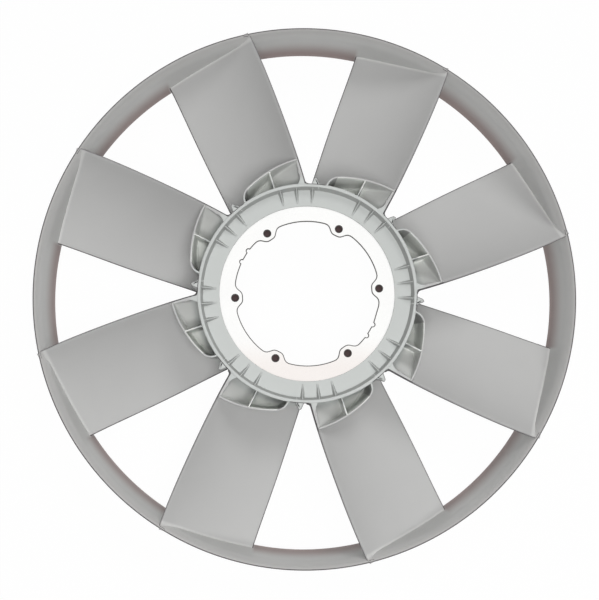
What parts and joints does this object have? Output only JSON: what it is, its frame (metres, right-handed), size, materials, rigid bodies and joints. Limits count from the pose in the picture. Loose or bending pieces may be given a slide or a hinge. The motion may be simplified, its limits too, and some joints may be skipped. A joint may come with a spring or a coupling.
{
  "type": "axial ring fan impeller",
  "caption": "Axial fan impeller moulded in one piece with an outer ring, around a metal mounting ring with a scalloped bore and bolt holes.",
  "frame": {"origin": "on the fan's axis, at the rear edge of the ring, which it lies on", "axes": "+Z along the axis, from the ring's rear edge to its flared lip and the hub's rim; +X to the right and +Y up when the lip side is looked at"},
  "size_m": [0.75, 0.75, 0.094],
  "materials": {
    "moulded_plastic": "fine satin moulding, natural grey",
    "plate_metal": "bright zinc, fine rolled grain"
  },
  "bodies": {
    "root": {"fan_moulding": "moulded_plastic", "mounting_plate": "plate_metal"}
  },
  "joints": []
}
